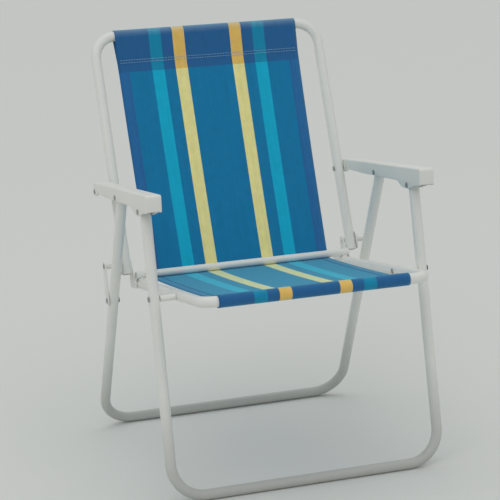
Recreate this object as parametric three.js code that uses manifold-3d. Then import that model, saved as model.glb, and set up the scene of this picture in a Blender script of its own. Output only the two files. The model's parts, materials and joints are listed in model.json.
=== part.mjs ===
// Folding lawn chair with a sling of striped cloth, standing open on the floor.
// Millimetres, +Z up, floor at Z = 0. The front is -Y, and left and right are as seen from the front.
// A point of the side view is a Vector2 of Y and Z.

import * as THREE from 'three';
import { mergeVertices } from 'three/addons/utils/BufferGeometryUtils.js';
import Module from 'manifold-3d';

const wasm = await Module();
wasm.setup();

// Steel tube of the four frames, and the thinner crossbar
const tubeRadius = 10;
const tubeWall = 1.2;
const crossbarRadius = 7.5;
const crossbarWall = 1;

// Half the distance between the seat rails on their axes, and the side gaps out to the back and the armrests
const seatHalfSpacing = 213.5;
const seatBackGap = 3.5;
const backArmGap = 2.5;

// Bends on the tube axes
const footBendRadius = 62;
const backBendRadius = 45;
const seatBendRadius = 30;

// Arm pivots in the side view: the front one's place, and the other two from it
const armFrontPivotY = -130.3;
const armPivotHeight = 527;
const armMiddlePivotBehind = 163;
const armMiddlePivotFall = 1.2;
const armRearPivotBehind = 322.8;
const armRearPivotFall = 16.1;

// Bars in the side view
const frontFootAhead = 98.1;
const rearFootBehind = 256.4;
const backTopAboveArm = 290.8;
const backTopBehindArm = 111.9;
const seatFrontAhead = 144.344;
const seatFrontRise = 19.2;

// Distances along the tubes, from a pivot or past it
const backPivotBelowArm = 147.29;
const seatPivotBelowArm = 159.5;
const linkPivotBelowArm = 252;
const backBelowArm = 170;
const legPastPivot = 7;
const railBehindLeg = 314;
const crossbarAheadOfEnd = 37.5;

// Armrest: a channel open below, with a lug around its front and rear pivots
const armSideClearance = 0.6;
const armWall = 3.7;
const armRoof = 4;
const armEdgeRadius = 2.5;
const armNoseTopRadius = 5;
const armCornerRadius = 8;
const armNoseRadius = 6;
const armRampRadius = 12;
const armMiddleRadius = 40;
const armFrontOverhang = 62;
const armRearOverhang = 12.5;
const armFrontHeight = 40;
const armRearHeight = 17;
const armNoseLength = 24;
const armNoseHeight = 5.5;
const armNoseDrop = 3.5;
const armLugDepth = 9;
const armLugAhead = 4;
const armLugBehind = 25;
const armLugRamp = 23;
const armMiddleDepth = 12.5;
const armMiddleBehind = 62;
const armTailLug = 10;
const armTailRamp = 15;
const armTailDrop = 1;
const armTailClearance = 2.5;

// Plates and fasteners
const pinRadius = 3;
const headRadius = 5.5;
const headHeight = 1.8;
const plateThickness = 3;
const hingePlateRadius = 8.5;
const linkRadius = 9;
const lowerPlateRivetBelowArm = 160.5;
const upperPlateRivetBelowArm = 142;
const seatPlateThickness = 2.5;
const seatPlateRearInset = 9;
const seatPlateFrontInset = 34;
const washerRadius = 8;
const bushRadius = 4.6;
const bushClearance = 0.62;
const spacerRadius = 6;

// Sling of woven cloth with a sewn sleeve around the top and the front bar
const slingThickness = 1.2;
const slingRailGap = 16.5;
const slingFrontInset = 2;
const sleeveSeam = 60;
const creaseRise = 75;
const creaseReach = 12;

const clearance = 0.3;
const tubeSides = 16;
const bendSteps = 6;
const turnedSides = 12;

const paintedSteel = { color: 0xe6e7e4, roughness: 0.35, metalness: 0.1 };
const whitePlastic = { color: 0xeeeeea, roughness: 0.5, metalness: 0 };
const zincSteel = { color: 0xb4b5b3, roughness: 0.4, metalness: 0.8 };
const blueCloth = { color: 0x17598f, roughness: 0.85, metalness: 0 };

const chair = new THREE.Group();

function addPiece(name, geometry, finish) {
  const piece = new THREE.Mesh(geometry, new THREE.MeshStandardMaterial(finish));
  piece.name = name;
  chair.add(piece);
}

// The point at a distance from one side-view point towards another
function along(from, to, distance) {
  const direction = to.clone().sub(from).normalize();
  return from.clone().addScaledVector(direction, distance);
}

// Distance from a polygon's centre to its corners, for a given distance to its flats
function cornerReach(radius, sides) {
  return radius / Math.cos(Math.PI / sides);
}

// Joins and cuts

function solidOf(geometry) {
  const bare = geometry.clone();
  bare.deleteAttribute('normal');
  bare.deleteAttribute('uv');
  const merged = mergeVertices(bare, 1e-4);
  const corners = merged.index.array;
  const triangles = [];
  for (let i = 0; i < corners.length; i += 3) {
    const [a, b, c] = corners.slice(i, i + 3);
    if (a !== b && b !== c && c !== a) triangles.push(a, b, c);
  }
  return new wasm.Manifold(new wasm.Mesh({
    numProp: 3,
    vertProperties: new Float32Array(merged.attributes.position.array),
    triVerts: new Uint32Array(triangles),
  }));
}

function geometryOf(solid) {
  const mesh = solid.getMesh();
  const geometry = new THREE.BufferGeometry();
  geometry.setAttribute('position', new THREE.BufferAttribute(mesh.vertProperties, 3));
  geometry.setIndex(new THREE.BufferAttribute(mesh.triVerts, 1));
  return geometry;
}

function cut(geometry, cutters) {
  let solid = solidOf(geometry);
  for (const cutter of cutters) solid = solid.subtract(solidOf(cutter));
  return geometryOf(solid);
}

// A straight hole across the chair at a side-view point, between two distances from the middle
function crossHole(point, side, inner, outer) {
  const hole = new THREE.CylinderGeometry(
    pinRadius + clearance, pinRadius + clearance, outer - inner, turnedSides);
  hole.rotateZ(-Math.PI / 2);
  return hole.translate(side * (inner + outer) / 2, point.x, point.y);
}

// Tubes

class BentTubePath extends THREE.Curve {
  // Corners are Vector3, with a bend radius for each one between the ends
  constructor(corners, radii) {
    super();
    this.stations = [{ point: corners[0], tangent: corners[1].clone().sub(corners[0]).normalize() }];
    for (let i = 1; i < corners.length - 1; i += 1) {
      this.addBend(corners[i - 1], corners[i], corners[i + 1], radii[i - 1]);
    }
    const [before, end] = corners.slice(-2);
    this.stations.push({ point: end, tangent: end.clone().sub(before).normalize() });
  }

  addBend(before, corner, after, radius) {
    const incoming = corner.clone().sub(before).normalize();
    const outgoing = after.clone().sub(corner).normalize();
    const turn = incoming.angleTo(outgoing);
    const start = corner.clone().addScaledVector(incoming, -radius * Math.tan(turn / 2));
    const inward = outgoing.clone().addScaledVector(incoming, -incoming.dot(outgoing)).normalize();
    const centre = start.clone().addScaledVector(inward, radius);
    const steps = Math.max(1, Math.round(bendSteps * turn / (Math.PI / 2)));
    for (let i = 0; i <= steps; i += 1) {
      const angle = turn * i / steps;
      const point = centre.clone()
        .addScaledVector(inward, -radius * Math.cos(angle))
        .addScaledVector(incoming, radius * Math.sin(angle));
      const tangent = incoming.clone().multiplyScalar(Math.cos(angle))
        .addScaledVector(inward, Math.sin(angle));
      this.stations.push({ point, tangent });
    }
  }

  get steps() {
    return this.stations.length - 1;
  }

  getPointAt(u) {
    return this.stations[Math.round(u * this.steps)].point.clone();
  }

  getTangentAt(u) {
    return this.stations[Math.round(u * this.steps)].tangent.clone();
  }
}

function polygonPoints(radius, sides, turn) {
  const reach = cornerReach(radius, sides);
  return Array.from({ length: sides }, (_, i) => {
    const angle = turn + (i + 0.5) * 2 * Math.PI / sides;
    return new THREE.Vector2(reach * Math.cos(angle), reach * Math.sin(angle));
  });
}

function ringShape(outerRadius, innerRadius, sides, turn = 0) {
  const shape = new THREE.Shape(polygonPoints(outerRadius, sides, turn));
  shape.holes.push(new THREE.Path(polygonPoints(innerRadius, sides, turn)));
  return shape;
}

function bentTube(corners, radii, turn = 0) {
  const path = new BentTubePath(corners, radii);
  const section = ringShape(tubeRadius, tubeRadius - tubeWall, tubeSides, turn);
  return new THREE.ExtrudeGeometry(section, { extrudePath: path, steps: path.steps });
}

// A frame that is the same on both sides: its points run from one open end to the bar
function mirroredTube(points, radii, halfSpacing, turn) {
  const left = points.map((p) => new THREE.Vector3(-halfSpacing, p.x, p.y));
  const right = points.map((p) => new THREE.Vector3(halfSpacing, p.x, p.y)).reverse();
  return bentTube([...left, ...right], [...radii, ...[...radii].reverse()], turn);
}

function drilledFrame(frame, points, halfSpacing) {
  const inner = halfSpacing - 2 * tubeRadius;
  const outer = halfSpacing + 2 * tubeRadius;
  const holes = [];
  for (const side of [-1, 1]) {
    for (const point of points) holes.push(crossHole(point, side, inner, outer));
  }
  return cut(frame, holes);
}

// Turned and flat pieces

// A turned piece on an axis across the chair: its profile holds radius and distance from the middle
function turned(profile, point, side) {
  const points = profile.map(([radius, distance]) => new THREE.Vector2(radius, side * distance));
  if (side < 0) points.reverse();
  const geometry = new THREE.LatheGeometry(points, turnedSides);
  geometry.rotateZ(-Math.PI / 2);
  return geometry.translate(0, point.x, point.y);
}

// A domed head that ends at a face; outward is +1 where the dome lies farther from the middle
function headProfile(face, outward) {
  const profile = [
    [headRadius, face],
    [headRadius, face + outward * 0.4 * headHeight],
    [0.7 * headRadius, face + outward * headHeight],
    [0, face + outward * headHeight],
  ];
  return outward > 0 ? profile : profile.reverse();
}

// A rivet between two outer faces; without a head an end is cut flat at its face
function rivet(point, side, innerFace, outerFace, heads = { inner: true, outer: true }) {
  const innerSeat = innerFace - clearance;
  const outerSeat = outerFace + clearance;
  const start = heads.inner ? [...headProfile(innerSeat, -1), [pinRadius, innerSeat]]
    : [[0, innerFace], [pinRadius, innerFace]];
  const end = heads.outer ? [[pinRadius, outerSeat], ...headProfile(outerSeat, 1)]
    : [[pinRadius, outerFace], [0, outerFace]];
  return turned([...start, ...end], point, side);
}

// A round sleeve or washer around a pin, between two faces
function sleeve(point, side, innerFace, outerFace, radius) {
  const bore = pinRadius + clearance;
  const start = innerFace + clearance;
  const end = outerFace - clearance;
  const profile = [[bore, start], [radius, start], [radius, end], [bore, end], [bore, start]];
  return turned(profile, point, side);
}

// A flat plate with round corners, which run anticlockwise in the side view, and a hole for each pin
function plate(corners, pins, radius, side, innerFace, thickness) {
  const shape = new THREE.Shape();
  corners.forEach((corner, i) => {
    const previous = corners.at(i - 1);
    const next = corners[(i + 1) % corners.length];
    const incoming = corner.clone().sub(previous);
    const outgoing = next.clone().sub(corner);
    const startAngle = Math.atan2(-incoming.x, incoming.y);
    const endAngle = Math.atan2(-outgoing.x, outgoing.y);
    shape.absarc(corner.x, corner.y, radius, startAngle, endAngle, false);
  });
  for (const pin of pins) {
    const bore = new THREE.Path();
    bore.absarc(pin.x, pin.y, pinRadius + clearance, 0, 2 * Math.PI, true);
    shape.holes.push(bore);
  }
  const geometry = new THREE.ExtrudeGeometry(shape, {
    depth: thickness, curveSegments: turnedSides / 2, bevelEnabled: false,
  });
  return acrossChair(geometry).translate(side * innerFace - (side < 0 ? thickness : 0), 0, 0);
}

// Turns a side-view extrusion so that its depth runs along +X
function acrossChair(geometry) {
  const toChair = new THREE.Matrix4().makeBasis(
    new THREE.Vector3(0, 1, 0), new THREE.Vector3(0, 0, 1), new THREE.Vector3(1, 0, 0));
  return geometry.applyMatrix4(toChair);
}

// A closed outline of [Y, Z, corner radius] with each corner rounded by a curve
function roundedShape(corners) {
  const shape = new THREE.Shape();
  corners.forEach(([y, z, radius], i) => {
    const corner = new THREE.Vector2(y, z);
    const before = new THREE.Vector2(...corners.at(i - 1).slice(0, 2));
    const after = new THREE.Vector2(...corners[(i + 1) % corners.length].slice(0, 2));
    const toBefore = before.clone().sub(corner).normalize();
    const toAfter = after.clone().sub(corner).normalize();
    const cutBack = radius / Math.tan(Math.acos(toBefore.dot(toAfter)) / 2);
    const start = corner.clone().addScaledVector(toBefore, cutBack);
    const end = corner.clone().addScaledVector(toAfter, cutBack);
    if (i === 0) shape.moveTo(start.x, start.y);
    else shape.lineTo(start.x, start.y);
    shape.quadraticCurveTo(corner.x, corner.y, end.x, end.y);
  });
  shape.closePath();
  return shape;
}

// Frames

const tubeReach = cornerReach(tubeRadius, tubeSides);
const armInnerHalfWidth = tubeReach + armSideClearance;
const armHalfWidth = armInnerHalfWidth + armWall;
const backHalfSpacing = seatHalfSpacing + 2 * tubeRadius + seatBackGap;
const legHalfSpacing = backHalfSpacing + tubeRadius + backArmGap + armHalfWidth;

const armFrontLegPivot = new THREE.Vector2(armFrontPivotY, armPivotHeight);
const armRearLegPivot = new THREE.Vector2(
  armFrontPivotY + armMiddlePivotBehind, armPivotHeight - armMiddlePivotFall);
const armBackPivot = new THREE.Vector2(
  armFrontPivotY + armRearPivotBehind, armPivotHeight - armRearPivotFall);
const frontFoot = new THREE.Vector2(armFrontLegPivot.x - frontFootAhead, tubeRadius);
const rearFoot = new THREE.Vector2(armRearLegPivot.x + rearFootBehind, tubeRadius);
const backTopBar = new THREE.Vector2(
  armBackPivot.x + backTopBehindArm, armBackPivot.y + backTopAboveArm);

// The seat turns on a pin just behind the back tube, between a plate on the tube and one on the seat rail
const backAlong = backTopBar.clone().sub(armBackPivot).normalize();
const behindBack = new THREE.Vector2(backAlong.y, -backAlong.x);
const seatBackPivot = along(armBackPivot, backTopBar, -backPivotBelowArm)
  .addScaledVector(behindBack, tubeReach + bushRadius + bushClearance);

const seatLegPivot = along(armFrontLegPivot, frontFoot, seatPivotBelowArm);
const seatFrontBar = new THREE.Vector2(
  seatLegPivot.x - seatFrontAhead, seatLegPivot.y + seatFrontRise);
const linkLegPivot = along(armRearLegPivot, rearFoot, linkPivotBelowArm);
const lowerPlateRivet = along(armBackPivot, backTopBar, -lowerPlateRivetBelowArm);
const upperPlateRivet = along(armBackPivot, backTopBar, -upperPlateRivetBelowArm);

function legFrame(armPivot, foot, otherPivot) {
  const top = along(armPivot, foot, -legPastPivot);
  const lean = Math.atan2(top.x - foot.x, top.y - foot.y);
  const tube = mirroredTube([top, foot], [footBendRadius], legHalfSpacing, lean);
  return drilledFrame(tube, [armPivot, otherPivot], legHalfSpacing);
}

addPiece('front_leg_frame', legFrame(armFrontLegPivot, frontFoot, seatLegPivot), paintedSteel);
addPiece('rear_leg_frame', legFrame(armRearLegPivot, rearFoot, linkLegPivot), paintedSteel);

const backLowerEnd = along(armBackPivot, backTopBar, -backBelowArm);
const backTube = mirroredTube([backLowerEnd, backTopBar], [backBendRadius], backHalfSpacing, 0);
const backHoles = [armBackPivot, lowerPlateRivet, upperPlateRivet];
addPiece('back_frame', drilledFrame(backTube, backHoles, backHalfSpacing), paintedSteel);

const railRearEnd = along(seatLegPivot, seatFrontBar, -railBehindLeg);
const seatTube = mirroredTube([railRearEnd, seatFrontBar], [seatBendRadius], seatHalfSpacing, 0);
addPiece('seat_frame', drilledFrame(seatTube, [seatLegPivot], seatHalfSpacing), paintedSteel);

// Crossbar: it lies on the two seat rails, just ahead of their rear ends
const railAlong = seatFrontBar.clone().sub(railRearEnd).normalize();
const railUp = new THREE.Vector2(railAlong.y, -railAlong.x);
const crossbarAxis = along(railRearEnd, seatFrontBar, crossbarAheadOfEnd)
  .addScaledVector(railUp, tubeReach + clearance + crossbarRadius);
const crossbarHalfLength = seatHalfSpacing + tubeRadius;
const crossbar = new THREE.ExtrudeGeometry(
  ringShape(crossbarRadius, crossbarRadius - crossbarWall, tubeSides),
  { depth: 2 * crossbarHalfLength, bevelEnabled: false });
acrossChair(crossbar).translate(-crossbarHalfLength, crossbarAxis.x, crossbarAxis.y);
addPiece('seat_crossbar', crossbar, paintedSteel);

// Armrests

const armRearY = armBackPivot.x + armRearOverhang;
const armFrontY = armFrontLegPivot.x - armFrontOverhang;
const armTopRear = new THREE.Vector2(armRearY, armBackPivot.y + armRearHeight);
const armTopFront = new THREE.Vector2(armFrontY, armFrontLegPivot.y + armFrontHeight);

function armOutline() {
  const rear = armBackPivot;
  const middle = armRearLegPivot;
  const front = armFrontLegPivot;
  return roundedShape([
    [armTopRear.x, armTopRear.y, armCornerRadius],
    [armTopFront.x, armTopFront.y, armNoseTopRadius],
    [armFrontY, front.y + armNoseHeight, armNoseRadius],
    [armFrontY + armNoseLength, front.y + armNoseHeight - armNoseDrop, armRampRadius],
    [front.x - armLugAhead, front.y - armLugDepth, armCornerRadius],
    [front.x + armLugBehind, front.y - armLugDepth, armCornerRadius],
    [front.x + armLugBehind + armLugRamp, front.y, armCornerRadius],
    [middle.x + armMiddleBehind, middle.y - armMiddleDepth, armMiddleRadius],
    [rear.x - armTailLug - armTailRamp, rear.y - armTailDrop, armRampRadius],
    [rear.x - armTailLug, rear.y - armLugDepth, armCornerRadius],
    [armRearY, rear.y - armLugDepth, armCornerRadius],
  ]);
}

// The hollow runs out below, and at the tail it leaves room for the rear leg when the chair is folded
function armHollow() {
  const roofSlope = armTopRear.clone().sub(armTopFront).normalize();
  const roofDrop = armRoof / roofSlope.x;
  const frontWall = armFrontY + armWall;
  const rearWall = armRearY - armWall;
  const roofAt = (y) => armTopFront.y + (y - armFrontY) * roofSlope.y / roofSlope.x - roofDrop;
  const below = armFrontLegPivot.y - 4 * armLugDepth;
  const tail = armBackPivot.y + armTailClearance;
  const behind = armRearY + armWall;
  return new THREE.Shape([
    new THREE.Vector2(frontWall, roofAt(frontWall)),
    new THREE.Vector2(frontWall, below),
    new THREE.Vector2(behind, below),
    new THREE.Vector2(behind, tail),
    new THREE.Vector2(rearWall, tail),
    new THREE.Vector2(rearWall, roofAt(rearWall)),
  ]);
}

function armrest(side) {
  const body = new THREE.ExtrudeGeometry(armOutline(), {
    depth: 2 * (armHalfWidth - armEdgeRadius),
    curveSegments: 3,
    bevelSize: armEdgeRadius,
    bevelThickness: armEdgeRadius,
    bevelOffset: -armEdgeRadius,
    bevelSegments: 2,
  });
  acrossChair(body).translate(side * legHalfSpacing - armHalfWidth + armEdgeRadius, 0, 0);
  const hollow = new THREE.ExtrudeGeometry(
    armHollow(), { depth: 2 * armInnerHalfWidth, bevelEnabled: false });
  acrossChair(hollow).translate(side * legHalfSpacing - armInnerHalfWidth, 0, 0);
  const inner = legHalfSpacing - 2 * armHalfWidth;
  const outer = legHalfSpacing + 2 * armHalfWidth;
  const pivots = [armFrontLegPivot, armRearLegPivot, armBackPivot];
  const holes = pivots.map((pivot) => crossHole(pivot, side, inner, outer));
  return cut(body, [hollow, ...holes]);
}

// Fasteners and armrests of each side, by their faces' distances from the middle

const armInner = legHalfSpacing - armHalfWidth;
const armOuter = legHalfSpacing + armHalfWidth;
const legInner = legHalfSpacing - tubeReach;
const legOuter = legHalfSpacing + tubeReach;
const backInner = backHalfSpacing - tubeRadius;
const backOuter = backHalfSpacing + tubeRadius;
const seatInner = seatHalfSpacing - tubeRadius;
const seatOuter = seatHalfSpacing + tubeRadius;
const seatPlateInner = seatOuter + clearance;
const seatPlateOuter = seatPlateInner + seatPlateThickness;
const hingePlateInner = backOuter + clearance;
const hingePlateOuter = hingePlateInner + plateThickness;
const linkInner = legOuter + clearance;
const linkOuter = linkInner + plateThickness;

for (const [sideName, side] of [['left', -1], ['right', 1]]) {
  const addSide = (name, geometry, finish) => addPiece(`${name}_${sideName}`, geometry, finish);

  addSide('armrest', armrest(side), whitePlastic);
  addSide('arm_front_rivet', rivet(armFrontLegPivot, side, armInner, armOuter), zincSteel);
  addSide('arm_middle_rivet', rivet(armRearLegPivot, side, armInner, armOuter), zincSteel);
  addSide('arm_back_rivet', rivet(armBackPivot, side, backInner, armOuter), zincSteel);
  addSide('arm_back_washer', sleeve(armBackPivot, side, backOuter, armInner, washerRadius), whitePlastic);

  const innerHeadOnly = { inner: true, outer: false };
  const outerHeadOnly = { inner: false, outer: true };
  const hingePins = [seatBackPivot, upperPlateRivet, lowerPlateRivet];
  const hingePlate = plate(hingePins, hingePins, hingePlateRadius, side, hingePlateInner, plateThickness);
  addSide('hinge_plate', hingePlate, paintedSteel);
  const plateRivet = (point) => rivet(point, side, backInner, hingePlateOuter, outerHeadOnly);
  addSide('upper_plate_rivet', plateRivet(upperPlateRivet), paintedSteel);
  addSide('lower_plate_rivet', plateRivet(lowerPlateRivet), paintedSteel);

  const seatPlateCorners = [
    seatBackPivot,
    along(railRearEnd, seatFrontBar, seatPlateFrontInset),
    along(railRearEnd, seatFrontBar, seatPlateRearInset),
  ];
  const seatPlate = plate(
    seatPlateCorners, [seatBackPivot], hingePlateRadius, side, seatPlateInner, seatPlateThickness);
  addSide('seat_plate', seatPlate, paintedSteel);
  const pivotPin = rivet(seatBackPivot, side, seatPlateInner, linkInner - clearance, innerHeadOnly);
  addSide('pivot_pin', pivotPin, paintedSteel);
  const pivotSleeve = (inner, outer, radius) => sleeve(seatBackPivot, side, inner, outer, radius);
  addSide('pivot_bush', pivotSleeve(seatPlateOuter, hingePlateInner, bushRadius), whitePlastic);
  addSide('pivot_spacer', pivotSleeve(hingePlateOuter, linkInner, spacerRadius), whitePlastic);

  const linkPins = [seatBackPivot, linkLegPivot];
  addSide('link', plate(linkPins, linkPins, linkRadius, side, linkInner, plateThickness), paintedSteel);
  addSide('link_back_rivet', rivet(seatBackPivot, side, linkInner, linkOuter, outerHeadOnly), zincSteel);
  addSide('link_leg_rivet', rivet(linkLegPivot, side, legInner, linkOuter), zincSteel);

  const seatRivetEnd = legInner - clearance;
  addSide('seat_rivet', rivet(seatLegPivot, side, seatInner, seatRivetEnd, innerHeadOnly), zincSteel);
  addSide('seat_spacer', sleeve(seatLegPivot, side, seatOuter, legInner, spacerRadius), whitePlastic);
  addSide('leg_seat_rivet', rivet(seatLegPivot, side, legInner, legOuter, outerHeadOnly), zincSteel);
}

// Sling

const slingTopHalfWidth = backHalfSpacing - backBendRadius;
const slingCreaseHalfWidth = seatHalfSpacing - tubeRadius - slingRailGap;
const slingFrontHalfWidth = seatHalfSpacing - seatBendRadius - slingFrontInset;

// The point where a taut line from a bar touches a circle, on its left as seen from the bar or its right
function touchPoint(bar, centre, radius, onLeft) {
  const reach = bar.distanceTo(centre);
  const length = Math.sqrt(reach * reach - radius * radius);
  const direction = centre.clone().sub(bar).normalize();
  const turn = Math.asin(radius / reach) * (onLeft ? 1 : -1);
  direction.rotateAround(new THREE.Vector2(), turn);
  return bar.clone().addScaledVector(direction, length);
}

const wrapRadius = cornerReach(crossbarRadius, tubeSides) + clearance + slingThickness / 2;
const backTouch = touchPoint(backTopBar, crossbarAxis, wrapRadius, true);
const seatTouch = touchPoint(seatFrontBar, crossbarAxis, wrapRadius, false);
const backSheetEnd = along(backTouch, backTopBar, creaseRise);
const seatSheetEnd = along(seatTouch, seatFrontBar, creaseReach);

// A cloth panel with a drop-shaped sleeve around a bar, drawn with the bar at the end of its length
function sleevedSheet(end, bar, halfWidthAtEnd, halfWidthAtBar) {
  const length = end.distanceTo(bar);
  const half = slingThickness / 2;
  const innerRadius = tubeReach + clearance;
  const outerRadius = innerRadius + slingThickness;
  const seam = length - sleeveSeam;
  const spread = Math.asin(outerRadius / Math.hypot(sleeveSeam, half)) - Math.atan2(half, sleeveSeam);
  const touch = Math.PI / 2 + spread;
  const outline = new THREE.Shape();
  outline.moveTo(0, -half);
  outline.lineTo(seam, -half);
  outline.absarc(length, 0, outerRadius, -touch, touch, false);
  outline.lineTo(seam, half);
  outline.lineTo(0, half);
  const opening = new THREE.Path();
  opening.absarc(length, 0, innerRadius, -touch, touch, false);
  opening.lineTo(length - innerRadius / Math.sin(spread), 0);
  outline.holes.push(opening);
  const geometry = new THREE.ExtrudeGeometry(outline, { depth: 1, curveSegments: 14, bevelEnabled: false });
  const spots = geometry.attributes.position;
  for (let i = 0; i < spots.count; i += 1) {
    const share = Math.min(1, spots.getX(i) / length);
    const halfWidth = THREE.MathUtils.lerp(halfWidthAtEnd, halfWidthAtBar, share);
    spots.setZ(i, (2 * spots.getZ(i) - 1) * halfWidth);
  }
  const slope = bar.clone().sub(end).angle();
  return acrossChair(geometry.rotateZ(slope).translate(end.x, end.y, 0));
}

// The cloth behind and under the crossbar, between the two panels
function creaseSheet() {
  const start = along(backSheetEnd, backTouch, clearance);
  const finish = along(seatSheetEnd, seatTouch, clearance);
  const startAngle = backTouch.clone().sub(crossbarAxis).angle() - 2 * Math.PI;
  const endAngle = seatTouch.clone().sub(crossbarAxis).angle() - 2 * Math.PI;
  const half = slingThickness / 2;
  const inward = (end, touch) => crossbarAxis.clone().sub(touch).setLength(half).add(end);
  const outward = (end, touch) => touch.clone().sub(crossbarAxis).setLength(half).add(end);
  const outline = new THREE.Shape();
  outline.absarc(crossbarAxis.x, crossbarAxis.y, wrapRadius - half, startAngle, endAngle, true);
  outline.lineTo(...inward(finish, seatTouch).toArray());
  outline.lineTo(...outward(finish, seatTouch).toArray());
  outline.absarc(crossbarAxis.x, crossbarAxis.y, wrapRadius + half, endAngle, startAngle, false);
  outline.lineTo(...outward(start, backTouch).toArray());
  outline.lineTo(...inward(start, backTouch).toArray());
  const geometry = new THREE.ExtrudeGeometry(outline, {
    depth: 2 * slingCreaseHalfWidth, curveSegments: 10, bevelEnabled: false,
  });
  return acrossChair(geometry).translate(-slingCreaseHalfWidth, 0, 0);
}

const backSheet = sleevedSheet(backSheetEnd, backTopBar, slingCreaseHalfWidth, slingTopHalfWidth);
const seatSheet = sleevedSheet(seatSheetEnd, seatFrontBar, slingCreaseHalfWidth, slingFrontHalfWidth);
addPiece('sling_back', backSheet, blueCloth);
addPiece('sling_crease', creaseSheet(), blueCloth);
addPiece('sling_seat', seatSheet, blueCloth);

export default chair;
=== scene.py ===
import json
import math

import bmesh
import bpy
from mathutils import Matrix, Vector


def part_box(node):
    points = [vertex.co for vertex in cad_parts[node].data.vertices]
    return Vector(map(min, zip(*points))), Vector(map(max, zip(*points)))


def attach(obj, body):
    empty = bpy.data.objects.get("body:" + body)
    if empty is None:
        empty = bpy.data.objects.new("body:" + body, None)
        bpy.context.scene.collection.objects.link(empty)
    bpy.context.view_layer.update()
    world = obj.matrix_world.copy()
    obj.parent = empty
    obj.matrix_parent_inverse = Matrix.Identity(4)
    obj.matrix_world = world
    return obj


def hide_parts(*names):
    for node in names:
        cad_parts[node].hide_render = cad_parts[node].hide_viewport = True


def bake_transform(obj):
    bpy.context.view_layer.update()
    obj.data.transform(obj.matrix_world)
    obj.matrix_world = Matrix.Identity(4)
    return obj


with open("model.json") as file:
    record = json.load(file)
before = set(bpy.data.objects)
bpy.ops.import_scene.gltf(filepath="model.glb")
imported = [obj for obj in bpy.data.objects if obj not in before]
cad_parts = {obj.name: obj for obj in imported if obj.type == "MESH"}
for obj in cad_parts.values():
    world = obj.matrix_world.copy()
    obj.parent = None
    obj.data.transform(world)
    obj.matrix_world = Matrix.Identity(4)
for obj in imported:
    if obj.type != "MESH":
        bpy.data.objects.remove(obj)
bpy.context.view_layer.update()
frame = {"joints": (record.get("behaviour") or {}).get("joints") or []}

# Viewpoint: a long lens at eye height, to the left of the chair and looking down on it.
# The camera is rolled by two degrees, as the chair leans in the picture.
LENS_MM = 132.42
SENSOR_MM = 36.0
EYE = Vector((-1.11071, -3.28749, 1.16818))
HEADING = math.radians(-18.28)
DIP = math.radians(12.44)
ROLL = math.radians(-2.22)

camera = bpy.data.objects.new("camera", bpy.data.cameras.new("camera"))
bpy.context.collection.objects.link(camera)
camera.data.sensor_width = SENSOR_MM
camera.data.lens = LENS_MM
camera.matrix_world = (
    Matrix.Translation(EYE)
    @ Matrix.Rotation(HEADING, 4, "Z")
    @ Matrix.Rotation(math.pi / 2 - DIP, 4, "X")
    @ Matrix.Rotation(ROLL, 4, "Z")
)
bpy.context.scene.camera = camera
bpy.context.scene.view_settings.view_transform = "Standard"

# Leg frames: two U shapes of thin steel tube, bent cold at the feet, with the ends up inside the armrests.
# The tube is painted white after bending and stands on its straight lower bars.
TUBE_RADIUS = 0.010
TUBE_WALL = 0.0012
TUBE_SIDES = 32
BEND_STEPS_PER_TURN = 48
LEG_HALF_SPACING = 0.264
LEG_PAST_PIVOT = 0.007
FOOT_BEND = 0.062
FRONT_FOOT_AHEAD = 0.0981
REAR_FOOT_BEHIND = 0.2564

pivot = {joint["name"]: Vector(joint["pos_m"]) for joint in frame["joints"]}
front_foot = Vector((0, pivot["front_leg_hinge"].y - FRONT_FOOT_AHEAD, TUBE_RADIUS))
rear_foot = Vector((0, pivot["arm_hinge"].y + REAR_FOOT_BEHIND, TUBE_RADIUS))


def along(start, end, distance):
    """The point at a distance from start towards end."""
    return start + (end - start).normalized() * distance


def linear(colour):
    """An sRGB hex colour as the linear values that shaders take."""
    shares = [int(colour[i:i + 2], 16) / 255 for i in (1, 3, 5)]
    return [s / 12.92 if s <= 0.04045 else ((s + 0.055) / 1.055) ** 2.4 for s in shares] + [1.0]


def add_node(material, kind, inputs, **settings):
    """Adds a node; an input takes a value, or a link from another node's output."""
    tree = material.node_tree
    node = tree.nodes.new("ShaderNode" + kind)
    for name, value in settings.items():
        setattr(node, name, value)
    for name, value in inputs.items():
        if isinstance(value, bpy.types.NodeSocket):
            tree.links.new(value, node.inputs[name])
        else:
            node.inputs[name].default_value = value
    return node


def new_material(name):
    """An empty material and its main shader's inputs."""
    material = bpy.data.materials.new(name)
    material.use_nodes = True
    return material, material.node_tree.nodes["Principled BSDF"].inputs


# White enamel, sprayed on steel and baked: a bright even coat with a soft reflection and a faint orange peel
# about 2 mm across. It is greyed towards the floor as painted shade, and it is scuffed where it stands on
# it.
ENAMEL_WHITE = "#ECEDE9"
ENAMEL_SHADE = "#E4E6E2"
LOW_SHADE_GREY = "#B4B5B1"
SCUFF_GREY = "#8F908C"
ENAMEL_ROUGHNESS = 0.33
ENAMEL_IOR = 1.5
CLOUD_WIDTH = 0.110
PEEL_WIDTH, PEEL_DEPTH, PEEL_STRENGTH = 0.002, 0.0002, 0.12
SCUFF_WIDTH, SCUFF_HEIGHT = 0.006, 0.0035
LOW_SHADE_BOTTOM, LOW_SHADE_TOP, LOW_SHADE_SHARE = 0.020, 0.200, 0.85

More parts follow.
